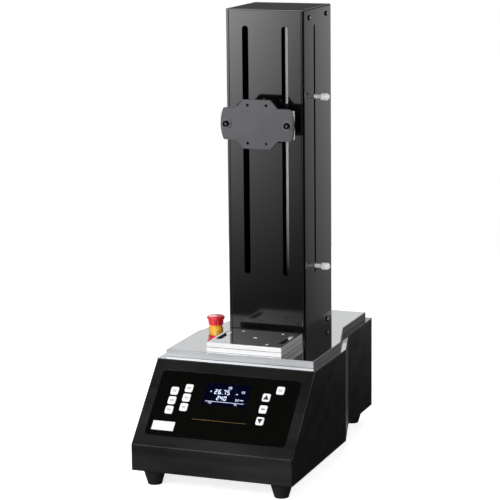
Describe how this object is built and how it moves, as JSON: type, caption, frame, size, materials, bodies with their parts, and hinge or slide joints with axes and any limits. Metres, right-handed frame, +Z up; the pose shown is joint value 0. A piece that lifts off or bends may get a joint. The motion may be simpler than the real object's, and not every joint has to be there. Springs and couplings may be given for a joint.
{
  "type": "universal testing machine",
  "caption": "Motorised vertical force test stand: sloped console base, polished plate with slotted table, black column with a driven carriage and gauge plate.",
  "frame": {"origin": "middle of the footprint's bounding box, on the floor under the rubber feet", "axes": "+X right as seen from the console, +Y back, +Z up along the column"},
  "size_m": [0.24, 0.436, 0.6517],
  "materials": {
    "black_paint": "semi-gloss black paint",
    "black_gloss": "gloss black paint",
    "polished_plate": "polished",
    "bright_steel": "bright",
    "zinc_steel": "zinc plated",
    "black_steel": "black oxide",
    "grey_anodised": "satin dark grey",
    "bare_aluminium": "machined",
    "black_aluminium": "black anodised",
    "rubber": "matte",
    "overlay_black": "gloss membrane",
    "key_white": "satin",
    "display_glass": "clear",
    "display_blue": "lit display",
    "board_green": "circuit board",
    "stop_red": "gloss",
    "stop_yellow": "gloss",
    "black_plastic": "moulded",
    "brass": "turned bronze",
    "belt_rubber": "toothed belt",
    "motor_grey": "painted",
    "sheet_zinc": "zinc sheet"
  },
  "bodies": {
    "stand": {"base_housing": "black_paint", "bottom_cover": "sheet_zinc", "rubber_feet": "rubber", "base_screws": "zinc_steel", "trim_sheet": "polished_plate", "base_plate": "polished_plate", "table_low_plate": "polished_plate", "table_clamp_screws": "bright_steel", "stop_collar": "stop_yellow", "stop_contacts": "black_plastic", "console_overlay": "overlay_black", "display_window": "display_glass", "display_module": "display_blue", "control_board": "board_green", "power_inlet": "black_plastic", "power_supply": "sheet_zinc", "column_front": "black_gloss", "column_left": "black_gloss", "column_right": "black_gloss", "column_back": "black_gloss", "column_lid": "black_gloss", "column_screws": "black_steel", "end_plate_top": "black_aluminium", "end_plate_low": "black_aluminium", "guide_rods": "bright_steel", "screw_bearings": "zinc_steel", "drive_belt": "belt_rubber", "motor_bracket": "sheet_zinc", "gear_motor": "motor_grey"},
    "carriage": {"carriage_block": "black_aluminium", "linear_bushes": "zinc_steel", "screw_nut": "brass", "carriage_arms": "black_aluminium", "adapter_plate": "bare_aluminium", "gauge_plate": "grey_anodised", "gauge_screws": "black_steel"},
    "screw_shaft": {"lead_screw": "zinc_steel", "screw_pulley": "bare_aluminium"},
    "motor_rotor": {"motor_pulley": "zinc_steel"},
    "table": {"table_top_plate": "polished_plate"},
    "stop_plunger": {"stop_stem": "black_plastic"},
    "stop_cap": {"stop_head": "stop_red"},
    "rocker": {"power_rocker": "black_plastic"},
    "limit_upper": {"limit_block_upper": "zinc_steel", "limit_switch_upper": "black_plastic"},
    "knob_upper": {"limit_knob_upper": "bright_steel"},
    "limit_lower": {"limit_block_lower": "zinc_steel", "limit_switch_lower": "black_plastic"},
    "knob_lower": {"limit_knob_lower": "bright_steel"},
    "key_outer_1": {"key_outer_1": "key_white"},
    "key_outer_2": {"key_outer_2": "key_white"},
    "key_outer_3": {"key_outer_3": "key_white"},
    "key_inner_1": {"key_inner_1": "key_white"},
    "key_inner_2": {"key_inner_2": "key_white"},
    "key_inner_3": {"key_inner_3": "key_white"},
    "key_up": {"key_up": "key_white"},
    "key_stop": {"key_stop": "key_white"},
    "key_down": {"key_down": "key_white"},
    "key_corner": {"key_corner": "key_white"}
  },
  "joints": [
    {"name": "carriage_slide", "type": "slide", "parent": "stand", "child": "carriage", "axis": [0, 0, 1], "range_m": [-0.2, 0.11]},
    {"name": "screw_spin", "type": "hinge", "parent": "stand", "child": "screw_shaft", "pos_m": [0, 0.038, 0.4], "axis": [0, 0, 1], "continuous": true},
    {"name": "motor_spin", "type": "hinge", "parent": "stand", "child": "motor_rotor", "pos_m": [0, -0.057, 0.13], "axis": [0, 0, 1], "continuous": true},
    {"name": "table_slide", "type": "slide", "parent": "stand", "child": "table", "axis": [0, 1, 0], "range_m": [0, 0.019]},
    {"name": "stop_press", "type": "slide", "parent": "stand", "child": "stop_plunger", "axis": [0, 0, -1], "range_m": [0, 0.0035]},
    {"name": "stop_twist", "type": "hinge", "parent": "stop_plunger", "child": "stop_cap", "pos_m": [-0.08935, 0.03, 0.185], "axis": [0, 0, 1], "range_deg": [0, 45], "stiffness_Nm_per_rad": 0.02},
    {"name": "rocker_tilt", "type": "hinge", "parent": "stand", "child": "rocker", "pos_m": [0.0225, 0.213, 0.07], "axis": [1, 0, 0], "range_deg": [0, 16]},
    {"name": "limit_upper_slide", "type": "slide", "parent": "stand", "child": "limit_upper", "axis": [0, 0, 1], "range_m": [-0.105, 0.085]},
    {"name": "knob_upper_turn", "type": "hinge", "parent": "limit_upper", "child": "knob_upper", "pos_m": [0.07, 0.0543, 0.5237], "axis": [1, 0, 0], "range_deg": [0, 360]},
    {"name": "limit_lower_slide", "type": "slide", "parent": "stand", "child": "limit_lower", "axis": [0, 0, 1], "range_m": [-0.005, 0.1]},
    {"name": "knob_lower_turn", "type": "hinge", "parent": "limit_lower", "child": "knob_lower", "pos_m": [0.07, 0.0543, 0.2742], "axis": [1, 0, 0], "range_deg": [0, 360]},
    {"name": "key_outer_1_press", "type": "slide", "parent": "stand", "child": "key_outer_1", "axis": [0, 0.7166, -0.6974], "range_m": [0, 0.0005], "stiffness_N_per_m": 800},
    {"name": "key_outer_2_press", "type": "slide", "parent": "stand", "child": "key_outer_2", "axis": [0, 0.7166, -0.6974], "range_m": [0, 0.0005], "stiffness_N_per_m": 800},
    {"name": "key_outer_3_press", "type": "slide", "parent": "stand", "child": "key_outer_3", "axis": [0, 0.7166, -0.6974], "range_m": [0, 0.0005], "stiffness_N_per_m": 800},
    {"name": "key_inner_1_press", "type": "slide", "parent": "stand", "child": "key_inner_1", "axis": [0, 0.7166, -0.6974], "range_m": [0, 0.0005], "stiffness_N_per_m": 800},
    {"name": "key_inner_2_press", "type": "slide", "parent": "stand", "child": "key_inner_2", "axis": [0, 0.7166, -0.6974], "range_m": [0, 0.0005], "stiffness_N_per_m": 800},
    {"name": "key_inner_3_press", "type": "slide", "parent": "stand", "child": "key_inner_3", "axis": [0, 0.7166, -0.6974], "range_m": [0, 0.0005], "stiffness_N_per_m": 800},
    {"name": "key_up_press", "type": "slide", "parent": "stand", "child": "key_up", "axis": [0, 0.7166, -0.6974], "range_m": [0, 0.0005], "stiffness_N_per_m": 800},
    {"name": "key_stop_press", "type": "slide", "parent": "stand", "child": "key_stop", "axis": [0, 0.7166, -0.6974], "range_m": [0, 0.0005], "stiffness_N_per_m": 800},
    {"name": "key_down_press", "type": "slide", "parent": "stand", "child": "key_down", "axis": [0, 0.7166, -0.6974], "range_m": [0, 0.0005], "stiffness_N_per_m": 800},
    {"name": "key_corner_press", "type": "slide", "parent": "stand", "child": "key_corner", "axis": [0, 0.7166, -0.6974], "range_m": [0, 0.0005], "stiffness_N_per_m": 800}
  ],
  "couplings": [
    {"joint": "screw_spin", "follows": "carriage_slide", "rad_per_m": -1256.6},
    {"joint": "motor_spin", "follows": "carriage_slide", "rad_per_m": -2513.3}
  ]
}
